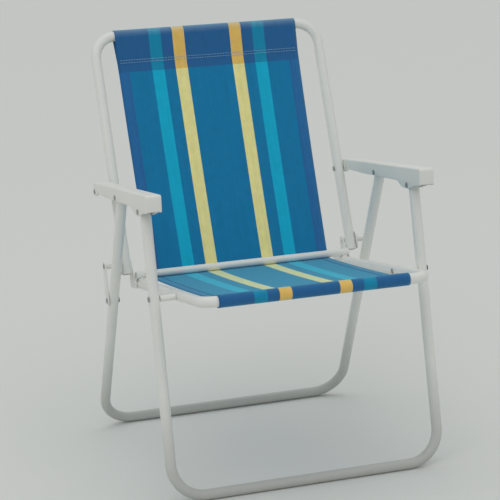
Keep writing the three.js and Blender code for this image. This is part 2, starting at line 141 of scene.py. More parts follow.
enamel, coat = new_material("white_enamel")
coat["Roughness"].default_value = ENAMEL_ROUGHNESS
coat["IOR"].default_value = ENAMEL_IOR
spot = add_node(enamel, "TexCoord", {}).outputs["Object"]
cloud = add_node(enamel, "TexNoise", {"Vector": spot, "Scale": 1 / CLOUD_WIDTH, "Detail": 3.0})
peel = add_node(enamel, "TexNoise", {"Vector": spot, "Scale": 1 / PEEL_WIDTH, "Detail": 1.0})
height = add_node(enamel, "SeparateXYZ", {"Vector": spot}).outputs["Z"]
near_floor = add_node(enamel, "MapRange", {
    "Value": height, "From Min": SCUFF_HEIGHT, "From Max": 0.0, "To Min": 0.0, "To Max": 1.0})
rubbed = add_node(enamel, "TexNoise", {"Vector": spot, "Scale": 1 / SCUFF_WIDTH, "Detail": 4.0})
scuff = add_node(enamel, "Math", {0: near_floor.outputs[0], 1: rubbed.outputs[0]}, operation="MULTIPLY")
even = add_node(enamel, "Mix", {
    0: cloud.outputs[0], 6: linear(ENAMEL_SHADE), 7: linear(ENAMEL_WHITE)}, data_type="RGBA")
# Painted shade: the coat greys over its lowest 0.2 m, darkest at the floor; the scuffs below are real wear.
low_shade = add_node(enamel, "MapRange", {
    "Value": height, "From Min": LOW_SHADE_TOP, "From Max": LOW_SHADE_BOTTOM, "To Min": 0.0, "To Max": LOW_SHADE_SHARE})
shaded_low = add_node(enamel, "Mix", {
    0: low_shade.outputs[0], 6: even.outputs[2], 7: linear(LOW_SHADE_GREY)}, data_type="RGBA")
worn_and_shaded = add_node(enamel, "Mix", {
    0: scuff.outputs[0], 6: shaded_low.outputs[2], 7: linear(SCUFF_GREY)}, data_type="RGBA")
relief = add_node(enamel, "Bump", {
    "Height": peel.outputs[0], "Strength": PEEL_STRENGTH, "Distance": PEEL_DEPTH})
enamel.node_tree.links.new(worn_and_shaded.outputs[2], coat["Base Color"])
enamel.node_tree.links.new(relief.outputs[0], coat["Normal"])

# Edges that turn by more than the first angle are drawn sharp; the second leaves a piece smooth all over.
SHARP_DEGREES = 38
SMOOTH_DEGREES = 180


def finished_piece(name, shape, material, sharp_degrees=SHARP_DEGREES):
    """Makes an object of a bmesh, shaded smooth between its sharp edges."""
    shape.normal_update()
    bmesh.ops.recalc_face_normals(shape, faces=shape.faces)
    mesh = bpy.data.meshes.new(name)
    shape.to_mesh(mesh)
    shape.free()
    mesh.shade_smooth()
    mesh.set_sharp_from_angle(angle=math.radians(sharp_degrees))
    mesh.materials.append(material)
    piece = bpy.data.objects.new(name, mesh)
    bpy.context.collection.objects.link(piece)
    return piece


def only(kind, geometry):
    """The vertices, edges or faces of a mixed list."""
    return [g for g in geometry if isinstance(g, kind)]


def edges_among(points):
    """The edges that join two of the points."""
    return list(dict.fromkeys(e for p in points for e in p.link_edges if e.other_vert(p) in points))


def bent_tube(name, corners, bends, radius=TUBE_RADIUS, wall=TUBE_WALL):
    """A hollow tube with open ends along straight runs, with one bend radius for each corner between."""
    tube = bmesh.new()
    aim = (corners[1] - corners[0]).to_track_quat("Z", "Y").to_matrix().to_4x4()
    for ring_radius in (radius, radius - wall):
        bmesh.ops.create_circle(
            tube, segments=TUBE_SIDES, radius=ring_radius, matrix=Matrix.Translation(corners[0]) @ aim)
    rim = tube.edges[:]
    bmesh.ops.bridge_loops(tube, edges=rim)
    here = corners[0]
    for i in range(1, len(corners)):
        heading = (corners[i] - corners[i - 1]).normalized()
        stop = corners[i]
        if i < len(corners) - 1:
            onward = (corners[i + 1] - corners[i]).normalized()
            turn = heading.angle(onward)
            cut_back = bends[i - 1] * math.tan(turn / 2)
            stop = corners[i] - heading * cut_back
        ring = only(bmesh.types.BMVert, bmesh.ops.extrude_edge_only(tube, edges=rim)["geom"])
        bmesh.ops.translate(tube, verts=ring, vec=stop - here)
        rim = edges_among(ring)
        here = stop
        if i < len(corners) - 1:
            axis = heading.cross(onward).normalized()
            steps = max(2, round(BEND_STEPS_PER_TURN * turn / (2 * math.pi)))
            bent = bmesh.ops.spin(
                tube, geom=ring + rim, cent=stop + axis.cross(heading) * bends[i - 1],
                axis=axis, angle=turn, steps=steps)["geom_last"]
            rim = only(bmesh.types.BMEdge, bent)
            here = corners[i] + onward * cut_back
    bmesh.ops.bridge_loops(tube, edges=rim)
    return finished_piece(name, tube, enamel)


def both_sides(points, half_spacing):
    """Corners of a frame that runs up one side and back down the other."""
    left = [Vector((-half_spacing, p.y, p.z)) for p in points]
    right = [Vector((half_spacing, p.y, p.z)) for p in reversed(points)]
    return left + right


for name, body, top, foot in (
    ("front_leg_tube", "front_legs", pivot["front_leg_hinge"], front_foot),
    ("rear_leg_tube", "rear_legs", pivot["arm_hinge"], rear_foot),
):
    ends = [along(top, foot, -LEG_PAST_PIVOT), foot]
    legs = bent_tube(name, both_sides(ends, LEG_HALF_SPACING), [FOOT_BEND, FOOT_BEND])
    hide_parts(name.replace("tube", "frame"))
    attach(legs, body)

# Back frame: an upturned U of the same tube between the armrests, with its lower ends cut square and left
# open. Its top bar passes through the sleeve of the sling.
BACK_HALF_SPACING = 0.237
BACK_BEND = 0.045
BACK_BELOW_ARM = 0.170
TOP_BAR_BEHIND_ARM, TOP_BAR_ABOVE_ARM = 0.1119, 0.2908

top_bar = pivot["back_hinge"] + Vector((0, TOP_BAR_BEHIND_ARM, TOP_BAR_ABOVE_ARM))
back_foot = along(pivot["back_hinge"], top_bar, -BACK_BELOW_ARM)
back = bent_tube("back_tube", both_sides([back_foot, top_bar], BACK_HALF_SPACING), [BACK_BEND, BACK_BEND])
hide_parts("back_frame")
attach(back, "back")

# Seat frame: a U of the same tube inside the back frame, straight from its open rear ends up to its front
# bar. The front legs carry it, and its front bar passes through the sling's other sleeve.
RAIL_HALF_SPACING = 0.2135
RAIL_BEND = 0.030
RAIL_BEHIND_LEG = 0.314
SEAT_BELOW_ARM = 0.1595
FRONT_BAR_AHEAD, FRONT_BAR_RISE = 0.144344, 0.0192

seat_on_leg = along(pivot["front_leg_hinge"], front_foot, SEAT_BELOW_ARM)
front_bar = seat_on_leg + Vector((0, -FRONT_BAR_AHEAD, FRONT_BAR_RISE))
rail_end = along(seat_on_leg, front_bar, -RAIL_BEHIND_LEG)
seat = bent_tube("seat_tube", both_sides([rail_end, front_bar], RAIL_HALF_SPACING), [RAIL_BEND, RAIL_BEND])
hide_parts("seat_frame")
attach(seat, "seat")

# Crossbar: a thinner straight tube with open ends, welded on the two rails ahead of their rear ends by a
# bead before it and one behind it. The sling passes behind and under it, and it keeps the cloth down in
# the crease.
CROSSBAR_RADIUS = 0.0075
CROSSBAR_WALL = 0.0010
BEAD_LENGTH, BEAD_WIDTH, BEAD_HEIGHT = 0.013, 0.0050, 0.0046
BEAD_RISE = 0.0006
BEAD_FROM_AXIS = 0.0056
BEAD_SIDES, BEAD_RINGS = 16, 12

bar_low, bar_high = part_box("seat_crossbar")
crossbar_axis = (bar_low + bar_high) / 2
bar_ends = [Vector((x, crossbar_axis.y, crossbar_axis.z)) for x in (bar_low.x, bar_high.x)]
crossbar = bent_tube("crossbar_tube", bar_ends, [], CROSSBAR_RADIUS, CROSSBAR_WALL)
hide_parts("seat_crossbar")
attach(crossbar, "seat")

# A bead starts as a ball one unit across, which is drawn out over the rail and curved round it.
forward = (front_bar - rail_end).normalized()
upright = Vector((0, forward.z, -forward.y))
below_bar = along(rail_end, front_bar, (crossbar_axis - rail_end).dot(forward))
for side_name, side in (("left", -1), ("right", 1)):
    weld = bmesh.new()
    for way in (-1, 1):
        middle = below_bar + Vector((side * RAIL_HALF_SPACING, 0, 0)) + forward * way * BEAD_FROM_AXIS
        bead = bmesh.ops.create_uvsphere(weld, u_segments=BEAD_SIDES, v_segments=BEAD_RINGS, radius=0.5)
        for v in bead["verts"]:
            turn = v.co.z * BEAD_LENGTH / TUBE_RADIUS
            reach = TUBE_RADIUS + BEAD_RISE + v.co.y * BEAD_HEIGHT
            round_rail = Vector((math.sin(turn), 0, 0)) + upright * math.cos(turn)
            v.co = middle + forward * v.co.x * BEAD_WIDTH + round_rail * reach
    beads = finished_piece(f"crossbar_weld_{side_name}", weld, enamel, SMOOTH_DEGREES)
    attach(beads, "seat")

# Armrests: moulded channels of white polypropylene, open below, with a lug round the front pivot and one at
# the tail. The leg tops sit inside the channel, which is open at the tail so that the rear leg can swing up
# into it.
ARM_HALF_WIDTH = 0.0145
ARM_WALL = 0.0035
ARM_EDGE, ARM_EDGE_STEPS = 0.0030, 4
ARM_FRONT_OVERHANG, ARM_FRONT_HEIGHT = 0.062, 0.040
ARM_REAR_OVERHANG, ARM_REAR_HEIGHT = 0.0125, 0.017
NOSE_LENGTH, NOSE_HEIGHT, NOSE_DROP = 0.024, 0.0055, 0.0035
LUG_AHEAD, LUG_BEHIND, LUG_RAMP, LUG_DEPTH = 0.004, 0.025, 0.023, 0.009
MIDDLE_BEHIND, MIDDLE_DEPTH = 0.062, 0.0125
TAIL_LUG, TAIL_RAMP, TAIL_DROP = 0.010, 0.015, 0.001
TAIL_OPENING = 0.0025
NOSE_TOP_RADIUS, NOSE_RADIUS = 0.005, 0.006
CORNER_RADIUS, RAMP_RADIUS, MIDDLE_RADIUS = 0.008, 0.012, 0.040
CORNER_STEPS = 6
FACING_SHARE = 0.3
SAME_PLACE = 1e-6

# Moulded polypropylene: slightly warm white with a satin face, from a mould with a fine spark grain.
# The grain, about 0.4 mm on the real arm, is drawn at 0.8 mm so that it shows.
PLASTIC_WHITE = "#EDEEE9"
PLASTIC_SHADE = "#E4E6E0"
PLASTIC_IOR = 1.49
PLASTIC_SMOOTH, PLASTIC_ROUGH = 0.38, 0.52
GRAIN_WIDTH, GRAIN_DEPTH, GRAIN_STRENGTH = 0.0008, 0.0002, 0.15
FLOW_WIDTH = 0.070

plastic, skin = new_material("white_polypropylene")
skin["IOR"].default_value = PLASTIC_IOR
spot = add_node(plastic, "TexCoord", {}).outputs["Object"]
flow = add_node(plastic, "TexNoise", {"Vector": spot, "Scale": 1 / FLOW_WIDTH, "Detail": 2.0})
grain = add_node(plastic, "TexNoise", {"Vector": spot, "Scale": 1 / GRAIN_WIDTH, "Detail": 2.0})
tone = add_node(plastic, "Mix", {
    0: flow.outputs[0], 6: linear(PLASTIC_SHADE), 7: linear(PLASTIC_WHITE)}, data_type="RGBA")
gloss = add_node(plastic, "MapRange", {
    "Value": grain.outputs[0], "To Min": PLASTIC_SMOOTH, "To Max": PLASTIC_ROUGH})
relief = add_node(plastic, "Bump", {
    "Height": grain.outputs[0], "Strength": GRAIN_STRENGTH, "Distance": GRAIN_DEPTH})
plastic.node_tree.links.new(tone.outputs[2], skin["Base Color"])
plastic.node_tree.links.new(gloss.outputs[0], skin["Roughness"])
plastic.node_tree.links.new(relief.outputs[0], skin["Normal"])


def arm_outline():
    """The armrest in side view: Y, Z and the corner radius, clockwise from the top of its nose."""
    front, middle, rear = (pivot[n] for n in ("front_leg_hinge", "arm_hinge", "back_hinge"))
    nose, tail = front.y - ARM_FRONT_OVERHANG, rear.y + ARM_REAR_OVERHANG
    return [
        (nose, front.z + ARM_FRONT_HEIGHT, NOSE_TOP_RADIUS),
        (tail, rear.z + ARM_REAR_HEIGHT, CORNER_RADIUS),
        (tail, rear.z + TAIL_OPENING, 0),
        (tail, rear.z - LUG_DEPTH, CORNER_RADIUS),
        (rear.y - TAIL_LUG, rear.z - LUG_DEPTH, CORNER_RADIUS),
        (rear.y - TAIL_LUG - TAIL_RAMP, rear.z - TAIL_DROP, RAMP_RADIUS),
        (middle.y + MIDDLE_BEHIND, middle.z - MIDDLE_DEPTH, MIDDLE_RADIUS),
        (front.y + LUG_BEHIND + LUG_RAMP, front.z, CORNER_RADIUS),
        (front.y + LUG_BEHIND, front.z - LUG_DEPTH, CORNER_RADIUS),
        (front.y - LUG_AHEAD, front.z - LUG_DEPTH, CORNER_RADIUS),
        (nose + NOSE_LENGTH, front.z + NOSE_HEIGHT - NOSE_DROP, RAMP_RADIUS),
        (nose, front.z + NOSE_HEIGHT, NOSE_RADIUS),
    ]


def armrest(name, side):
    """An armrest drawn in side view, rounded, drawn out across its width and opened below and behind."""
    arm = bmesh.new()
    corners = arm_outline()
    x = side * LEG_HALF_SPACING - ARM_HALF_WIDTH
    points = [arm.verts.new((x, y, z)) for y, z, _ in corners]
    arm.faces.new(points)
    for i, (_, _, radius) in enumerate(corners):
        if radius:
            before, here, after = (Vector(corners[k % len(corners)][:2]) for k in (i - 1, i, i + 1))
            opening = (before - here).angle(after - here)
            bmesh.ops.bevel(
                arm, geom=[points[i]], offset=radius / math.tan(opening / 2), offset_type="OFFSET",
                segments=CORNER_STEPS, profile=0.5, affect="VERTICES", material=-1)
    drawn = bmesh.ops.extrude_face_region(arm, geom=arm.faces[:])["geom"]
    bmesh.ops.translate(arm, verts=only(bmesh.types.BMVert, drawn), vec=(2 * ARM_HALF_WIDTH, 0, 0))
    bmesh.ops.recalc_face_normals(arm, faces=arm.faces)
    rims = [e for e in arm.edges if abs(e.verts[0].co.x - e.verts[1].co.x) < SAME_PLACE]
    bmesh.ops.bevel(
        arm, geom=rims, offset=ARM_EDGE, offset_type="OFFSET", segments=ARM_EDGE_STEPS,
        profile=0.5, affect="EDGES", material=-1)
    tail_wall = pivot["back_hinge"].y + ARM_REAR_OVERHANG - ARM_WALL
    tail_top = pivot["back_hinge"].z + TAIL_OPENING
    opened = []
    for f in arm.faces:
        place = f.calc_center_median()
        at_tail = place.y > tail_wall and place.z < tail_top and f.normal.y > FACING_SHARE
        if at_tail or f.normal.z < -FACING_SHARE:
            opened.append(f)
    bmesh.ops.delete(arm, geom=opened, context="FACES")
    piece = finished_piece(name, arm, plastic)
    wall = piece.modifiers.new("wall", "SOLIDIFY")
    wall.thickness = ARM_WALL
    wall.offset = -1
    return piece


for side_name, side in (("left", -1), ("right", 1)):
    arm = armrest(f"arm_channel_{side_name}", side)
    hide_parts(f"armrest_{side_name}")
    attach(arm, "arms")

# Hinge plates, seat plates and links: flat steel stampings with round corners, painted with the frame.
# A hinge plate is riveted outside each back tube and a seat plate is welded outside each rail, with a pin
# between them; a link joins that pin to the rear leg.
PLATE_BORE = 0.0033
PLATE_CORNER = 0.0085
LINK_CORNER = 0.009
PLATE_RIVETS_BELOW_ARM = (0.142, 0.1605)
SEAT_PLATE_INSETS = (0.034, 0.009)
OUTLINE_SIDES = 72
BORE_SIDES = 24
STAMPED_EDGE, STAMPED_EDGE_STEPS = 0.0005, 2
STAMPED_RIM_ANGLE = 1.0


def stamping(name, node, corners, holes, radius):
    """A flat plate with round corners and bored holes, as thick as its CAD node and in its place."""
    plate = bmesh.new()
    low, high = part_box(node)
    flat = Matrix.Translation((low.x, 0, 0)) @ Matrix.Rotation(math.pi / 2, 4, "Y")
    ring = bmesh.ops.create_circle(plate, segments=OUTLINE_SIDES, radius=radius, matrix=flat)["verts"]
    for v in ring:
        outward = Vector((0, v.co.y, v.co.z))
        v.co += Vector((0, *max(corners, key=outward.dot).yz))
    for hole in holes:
        place = Matrix.Translation((0, hole.y, hole.z)) @ flat
        bmesh.ops.create_circle(plate, segments=BORE_SIDES, radius=PLATE_BORE, matrix=place)
    bmesh.ops.triangle_fill(plate, edges=plate.edges[:], use_beauty=True)
    drawn = bmesh.ops.extrude_face_region(plate, geom=plate.faces[:])["geom"]
    bmesh.ops.translate(plate, verts=only(bmesh.types.BMVert, drawn), vec=(high.x - low.x, 0, 0))
    bmesh.ops.recalc_face_normals(plate, faces=plate.faces)
    rims = [e for e in plate.edges if e.is_manifold and e.calc_face_angle() > STAMPED_RIM_ANGLE]
    bmesh.ops.bevel(
        plate, geom=rims, offset=STAMPED_EDGE, offset_type="OFFSET", segments=STAMPED_EDGE_STEPS,
        profile=0.5, affect="EDGES", material=-1)
    piece = finished_piece(name, plate, enamel)
    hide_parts(node)
    return piece


seat_pin = pivot["seat_hinge"]
hinge_pins = [seat_pin] + [along(pivot["back_hinge"], top_bar, -d) for d in PLATE_RIVETS_BELOW_ARM]
weld_points = [along(rail_end, front_bar, d) for d in SEAT_PLATE_INSETS]
link_pins = [seat_pin, pivot["link_hinge"]]
for side_name in ("left", "right"):
    for name, node, body, corners, holes, radius in (
        ("hinge_stamping", "hinge_plate", "back", hinge_pins, hinge_pins, PLATE_CORNER),
        ("seat_stamping", "seat_plate", "seat", [seat_pin, *weld_points], [seat_pin], PLATE_CORNER),
        ("link_stamping", "link", "links", link_pins, link_pins, LINK_CORNER),
    ):
        plate = stamping(f"{name}_{side_name}", f"{node}_{side_name}", corners, holes, radius)
        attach(plate, body)

# Rivets and pins: steel with low domed heads, closed over the tubes, plates and armrests. Most are zinc
# plated; the hinge plates' rivets and the seat pins are painted with the frame. White plastic bushes,
# spacers and washers fill the gaps between the pieces that a rivet joins.
RIVET_RADIUS = 0.003
RIVET_HEAD = 0.0055
RIVET_DOME = 0.0018
DOME_STEPS = 6
TURNED_SIDES = 24
TURNED_EDGE = 0.0003

# Bright zinc on steel: a grey metal with a fine haze from the plating, a little darker in the hollows.
ZINC = "#B9BBBA"
ZINC_DULL = "#9C9F9E"
ZINC_SMOOTH, ZINC_ROUGH = 0.28, 0.45
HAZE_WIDTH = 0.0011

zinc, plating = new_material("zinc_plated_steel")
plating["Metallic"].default_value = 1.0
spot = add_node(zinc, "TexCoord", {}).outputs["Object"]
haze = add_node(zinc, "TexNoise", {"Vector": spot, "Scale": 1 / HAZE_WIDTH, "Detail": 3.0})
tone = add_node(zinc, "Mix", {0: haze.outputs[0], 6: linear(ZINC_DULL), 7: linear(ZINC)}, data_type="RGBA")
gloss = add_node(zinc, "MapRange", {"Value": haze.outputs[0], "To Min": ZINC_SMOOTH, "To Max": ZINC_ROUGH})
zinc.node_tree.links.new(tone.outputs[2], plating["Base Color"])
zinc.node_tree.links.new(gloss.outputs[0], plating["Roughness"])


def turned(name, profile, middle, material):
    """Spins a profile of X and radius about an axis across the chair."""
    shape = bmesh.new()
    points = [shape.verts.new((x, middle.y + r, middle.z)) for x, r in profile]
    line = [shape.edges.new(pair) for pair in zip(points, points[1:])]
    bmesh.ops.spin(
        shape, geom=points + line, cent=middle, axis=(1, 0, 0), angle=2 * math.pi,
        steps=TURNED_SIDES, use_merge=True)
    bmesh.ops.remove_doubles(shape, verts=shape.verts, dist=SAME_PLACE)
    return finished_piece(name, shape, material)


def dome(seat_face, outward):
    """A head's profile from its seat to the middle of its crown."""
    angles = [k * math.pi / 2 / DOME_STEPS for k in range(DOME_STEPS + 1)]
    return [(seat_face + outward * RIVET_DOME * math.sin(a), RIVET_HEAD * math.cos(a)) for a in angles]


def rivet(node, body, head_low=True, head_high=True, material=zinc, slot="zinc_steel"):
    """A rivet in its CAD node's place, with a head at either end in X or cut flat there."""
    low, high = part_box(node)
    start = [(low.x, 0), (low.x, RIVET_RADIUS)]
    end = [(high.x, RIVET_RADIUS), (high.x, 0)]
    if head_low:
        seat_face = low.x + RIVET_DOME
        start = dome(seat_face, -1)[::-1] + [(seat_face, RIVET_RADIUS)]
    if head_high:
        seat_face = high.x - RIVET_DOME
        end = [(seat_face, RIVET_RADIUS)] + dome(seat_face, 1)
    piece = turned(f"{node}_steel", start + end, (low + high) / 2, material)
    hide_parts(node)
    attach(piece, body)


def bush(node, body):
    """A washer, bush or spacer round a rivet, with its edges broken."""
    low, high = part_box(node)
    outer = (high.z - low.z) / 2
    profile = [
        (low.x, PLATE_BORE), (low.x, outer - TURNED_EDGE), (low.x + TURNED_EDGE, outer),
        (high.x - TURNED_EDGE, outer), (high.x, outer - TURNED_EDGE), (high.x, PLATE_BORE),
        (low.x, PLATE_BORE)]
    piece = turned(f"{node}_ring", profile, (low + high) / 2, plastic)
    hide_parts(node)
    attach(piece, body)


for side_name, outer_end, inner_end in (
    ("left", "head_low", "head_high"), ("right", "head_high", "head_low"),
):
    for name, body in (
        ("arm_front_rivet", "arms"), ("arm_middle_rivet", "arms"), ("arm_back_rivet", "arms"),
        ("link_leg_rivet", "rear_legs"),
    ):
        rivet(f"{name}_{side_name}", body)
    for name in ("upper_plate_rivet", "lower_plate_rivet"):
        rivet(f"{name}_{side_name}", "back", material=enamel, slot="painted_steel", **{inner_end: False})
    rivet(f"pivot_pin_{side_name}", "back", material=enamel, slot="painted_steel", **{outer_end: False})
    rivet(f"seat_rivet_{side_name}", "seat", **{outer_end: False})
    for name, body in (("link_back_rivet", "links"), ("leg_seat_rivet", "front_legs")):
        rivet(f"{name}_{side_name}", body, **{inner_end: False})
    for name, body in (
        ("pivot_bush", "back"), ("pivot_spacer", "back"), ("seat_spacer", "seat"),
        ("arm_back_washer", "arms"),
    ):
        bush(f"{name}_{side_name}", body)

# Sling: one length of woven polyester, striped along its length, with a wide hem down each side.
# Each end is turned round a bar and sewn into a sleeve with two rows of stitches; behind the seat it passes
# under the crossbar, which holds it down.
CLOTH_THICKNESS = 0.0011
CLOTH_COLUMNS = 44
ROW_LENGTH = 0.008
WRAP_STEP = math.radians(12)
TOP_HALF_WIDTH, TOP_SHIFT = 0.192, -0.003
CREASE_HALF_WIDTH, CREASE_SHIFT = 0.187, -0.0055
FRONT_HALF_WIDTH, FRONT_SHIFT = 0.1815, -0.0075
SLEEVE_RADIUS = 0.0112
SLEEVE_SEAM = 0.060
SEAM_ALLOWANCE = 0.016
WRAP_RADIUS = 0.0085
BACK_SAG = 0.003
SEAT_SAG = 0.002


def flat_angle(v):
    """The direction of a side-view vector, from +Y towards +Z."""
    return math.atan2(v.z, v.y)


def side_vector(angle, length=1.0):
    """The side-view vector of a direction and a length."""
    return Vector((0, math.cos(angle) * length, math.sin(angle) * length))


def touch_direction(bar, centre, radius, turn):
    """The direction of a taut line from a bar that just touches a circle, passing it on one side."""
    reach = centre - bar
    return flat_angle(reach) + turn * math.asin(radius / reach.length)


# The cloth's course in side view, from the top sleeve's rear layer to the front sleeve's lower layer, is a
# list of moves, each with the length of cloth that it lays.
course = []


def laid():
    """The length of cloth laid so far."""
    return sum(length for _, length in course)


def run_to(start, end, sag=0.0):
    """A straight run of rows between two points, which hangs back from the line by its sag."""
    length = (end - start).length
    rows = max(1, round(length / ROW_LENGTH))
    drop = side_vector(flat_angle(end - start) + math.pi / 2, sag)
    dips = [4 * k / rows * (1 - k / rows) for k in range(rows + 1)]
    for k in range(rows):
        step = (end - start) / rows + drop * (dips[k + 1] - dips[k])
        course.append((Matrix.Translation(step), length / rows))


def wrap(centre, radius, turn):
    """Rows round a bar, turning from +Y towards +Z where turn is positive."""
    rows = max(3, round(abs(turn) / WRAP_STEP))
    pin = Matrix.Translation(centre)
    carry = pin @ Matrix.Rotation(turn / rows, 4, "X") @ pin.inverted()
    course.extend([(carry, radius * abs(turn) / rows)] * rows)


down_back = touch_direction(top_bar, crossbar_axis, WRAP_RADIUS, 1)
up_back = down_back + math.pi
to_front = touch_direction(front_bar, crossbar_axis, WRAP_RADIUS, -1) + math.pi
spread = math.asin((SLEEVE_RADIUS - CLOTH_THICKNESS / 2) / SLEEVE_SEAM)

rear_touch = top_bar + side_vector(up_back - spread - math.pi / 2, SLEEVE_RADIUS)
front_touch = top_bar + side_vector(up_back + spread + math.pi / 2, SLEEVE_RADIUS)
top_seam = top_bar + side_vector(down_back, SLEEVE_SEAM)
rear_lap = top_seam + side_vector(up_back - math.pi / 2, CLOTH_THICKNESS)
rear_end = rear_lap + side_vector(down_back, SEAM_ALLOWANCE)
back_touch = crossbar_axis + side_vector(down_back + math.pi / 2, WRAP_RADIUS)
seat_touch = crossbar_axis + side_vector(to_front + math.pi / 2, WRAP_RADIUS)
front_seam = front_bar + side_vector(to_front + math.pi, SLEEVE_SEAM)
upper_touch = front_bar + side_vector(to_front - spread - math.pi / 2, SLEEVE_RADIUS)
lower_touch = front_bar + side_vector(to_front + spread + math.pi / 2, SLEEVE_RADIUS)
under_lap = front_seam + side_vector(to_front + math.pi / 2, CLOTH_THICKNESS)
under_end = under_lap + side_vector(to_front + math.pi, SEAM_ALLOWANCE)

run_to(rear_end, rear_lap)
run_to(rear_lap, rear_touch)
top_crown = laid() + SLEEVE_RADIUS * (math.pi / 2 + spread)
wrap(top_bar, SLEEVE_RADIUS, math.pi + 2 * spread)
run_to(front_touch, top_seam)
top_sleeve_length = laid()
run_to(top_seam, back_touch, BACK_SAG)
back_length = laid()
wrap(crossbar_axis, WRAP_RADIUS, (to_front - down_back) % (2 * math.pi) - 2 * math.pi)
seat_start = laid()
run_to(seat_touch, front_seam, SEAT_SAG)
seat_length = laid()
run_to(front_seam, upper_touch)
front_bar_length = laid()
wrap(front_bar, SLEEVE_RADIUS, math.pi + 2 * spread)
run_to(lower_touch, under_lap)
run_to(under_lap, under_end)

cloth = bmesh.new()
across = cloth.verts.layers.float.new("across")
lengthwise = cloth.verts.layers.float.new("lengthwise")
edge_points = [cloth.verts.new((x, 0, 0)) for x in (-1, 1)]
first_row = cloth.edges.new(edge_points)
bmesh.ops.subdivide_edges(cloth, edges=[first_row], cuts=CLOTH_COLUMNS - 1)
for v in cloth.verts:
    v[across] = v.co.x
bmesh.ops.translate(cloth, verts=cloth.verts[:], vec=rear_end)
row = cloth.edges[:]
reached = 0.0
middle_line = []
for carry, length in course:
    drawn = only(bmesh.types.BMVert, bmesh.ops.extrude_edge_only(cloth, edges=row)["geom"])
    bmesh.ops.transform(cloth, matrix=carry, verts=drawn)
    reached += length
    for v in drawn:
        v[lengthwise] = reached
    middle_line.append((reached, Vector((0, drawn[0].co.y, drawn[0].co.z))))
    row = edges_among(drawn)


def width_at(distance):
    """The cloth's half width, and its shift off the middle, at a distance from its first end."""
    down = min(1.0, max(0.0, (distance - top_sleeve_length) / (back_length - top_sleeve_length)))
    ahead = min(1.0, max(0.0, (distance - seat_start) / (seat_length - seat_start)))
    half_width = (TOP_HALF_WIDTH + (CREASE_HALF_WIDTH - TOP_HALF_WIDTH) * down
                  + (FRONT_HALF_WIDTH - CREASE_HALF_WIDTH) * ahead)
    shift = TOP_SHIFT + (CREASE_SHIFT - TOP_SHIFT) * down + (FRONT_SHIFT - CREASE_SHIFT) * ahead
    return half_width, shift


bmesh.ops.recalc_face_normals(cloth, faces=cloth.faces)
uv = cloth.loops.layers.uv.new("cut")
for v in cloth.verts:
    half_width, shift = width_at(v[lengthwise])
    v.co.x = v[across] * half_width + shift
for f in cloth.faces:
    for corner in f.loops:
        corner[uv].uv = (corner.vert[across] * CREASE_HALF_WIDTH, corner.vert[lengthwise])

# Polyester coloured in its spinning solution, in plain weave, with a pale blue-green sheen where it is seen
# along its face. Painted light: the colour is paler where one layer would let light through, and darker, as
# painted shade, where the sleeves and hems lie double and where the front sleeve turns round its bar. The
# threads, about 0.8 mm on the real cloth, are drawn at 2 mm to show, and so are the streaks of the uneven
# warp, at nearly 4 mm. A painted highlight pales the cloth along the top of the top bar.
THREAD = 0.0020
THREAD_SHADE = 0.07
WEAVE_DEPTH, WEAVE_STRENGTH = 0.0004, 0.35
SLUB_WIDTH = 0.0165
STREAK_WIDTH, STREAK_LENGTH = 0.0038, 0.150
FADE_DARK, FADE_PALE = 0.76, 1.24
POLYESTER_ROUGHNESS = 0.8
POLYESTER_SHINE = 0.1
SHEEN = "#9CEEF8"
SHEEN_SHARE, SHEEN_ROUGHNESS = 0.6, 0.5
CROWN_HIGHLIGHT = "#B8CCD4"
HIGHLIGHT_REACH, HIGHLIGHT_SHARE = 0.024, 0.42
STRIPE_SPAN = 0.2
YELLOW_FROM, YELLOW_TO = 0.0465, 0.0710
TURQUOISE_FROM, TURQUOISE_TO = 0.0940, 0.1195
HEM_FROM = 0.1650
STRIPES = [
    (0.0, "blue"), (YELLOW_FROM, "yellow"), (YELLOW_TO, "blue"), (TURQUOISE_FROM, "turquoise"),
    (TURQUOISE_TO, "blue"), (HEM_FROM, "hem")]
# Painted light: the single-layer palette is paler, as if lit through the cloth, and the double one is
# darker, as painted shade.
SINGLE_BACKLIT = {"blue": "#167DB1", "yellow": "#F4EBA0", "turquoise": "#14B2D8", "hem": "#2C6EAA"}
DOUBLE_SHADED = {"blue": "#2B649D", "yellow": "#EDC469", "turquoise": "#1A8DB6", "hem": "#2B649D"}

weave, fibre = new_material("striped_polyester")
fibre["Roughness"].default_value = POLYESTER_ROUGHNESS
fibre["Specular IOR Level"].default_value = POLYESTER_SHINE
fibre["Sheen Weight"].default_value = SHEEN_SHARE
fibre["Sheen Roughness"].default_value = SHEEN_ROUGHNESS
fibre["Sheen Tint"].default_value = linear(SHEEN)
cut = add_node(weave, "UVMap", {}, uv_map="cut").outputs[0]
parts = add_node(weave, "SeparateXYZ", {"Vector": cut})
off_middle = add_node(weave, "Math", {0: parts.outputs["X"]}, operation="ABSOLUTE")
share = add_node(weave, "Math", {0: off_middle.outputs[0], 1: STRIPE_SPAN}, operation="DIVIDE")
palettes = []
for colours in (SINGLE_BACKLIT, DOUBLE_SHADED):
    ramp = add_node(weave, "ValToRGB", {"Fac": share.outputs[0]})
    ramp.color_ramp.interpolation = "CONSTANT"
    while len(ramp.color_ramp.elements) < len(STRIPES):
        ramp.color_ramp.elements.new(1.0)
    for element, (place, colour) in zip(ramp.color_ramp.elements, STRIPES):
        element.position = place / STRIPE_SPAN
        element.color = linear(colours[colour])
    palettes.append(ramp.outputs[0])
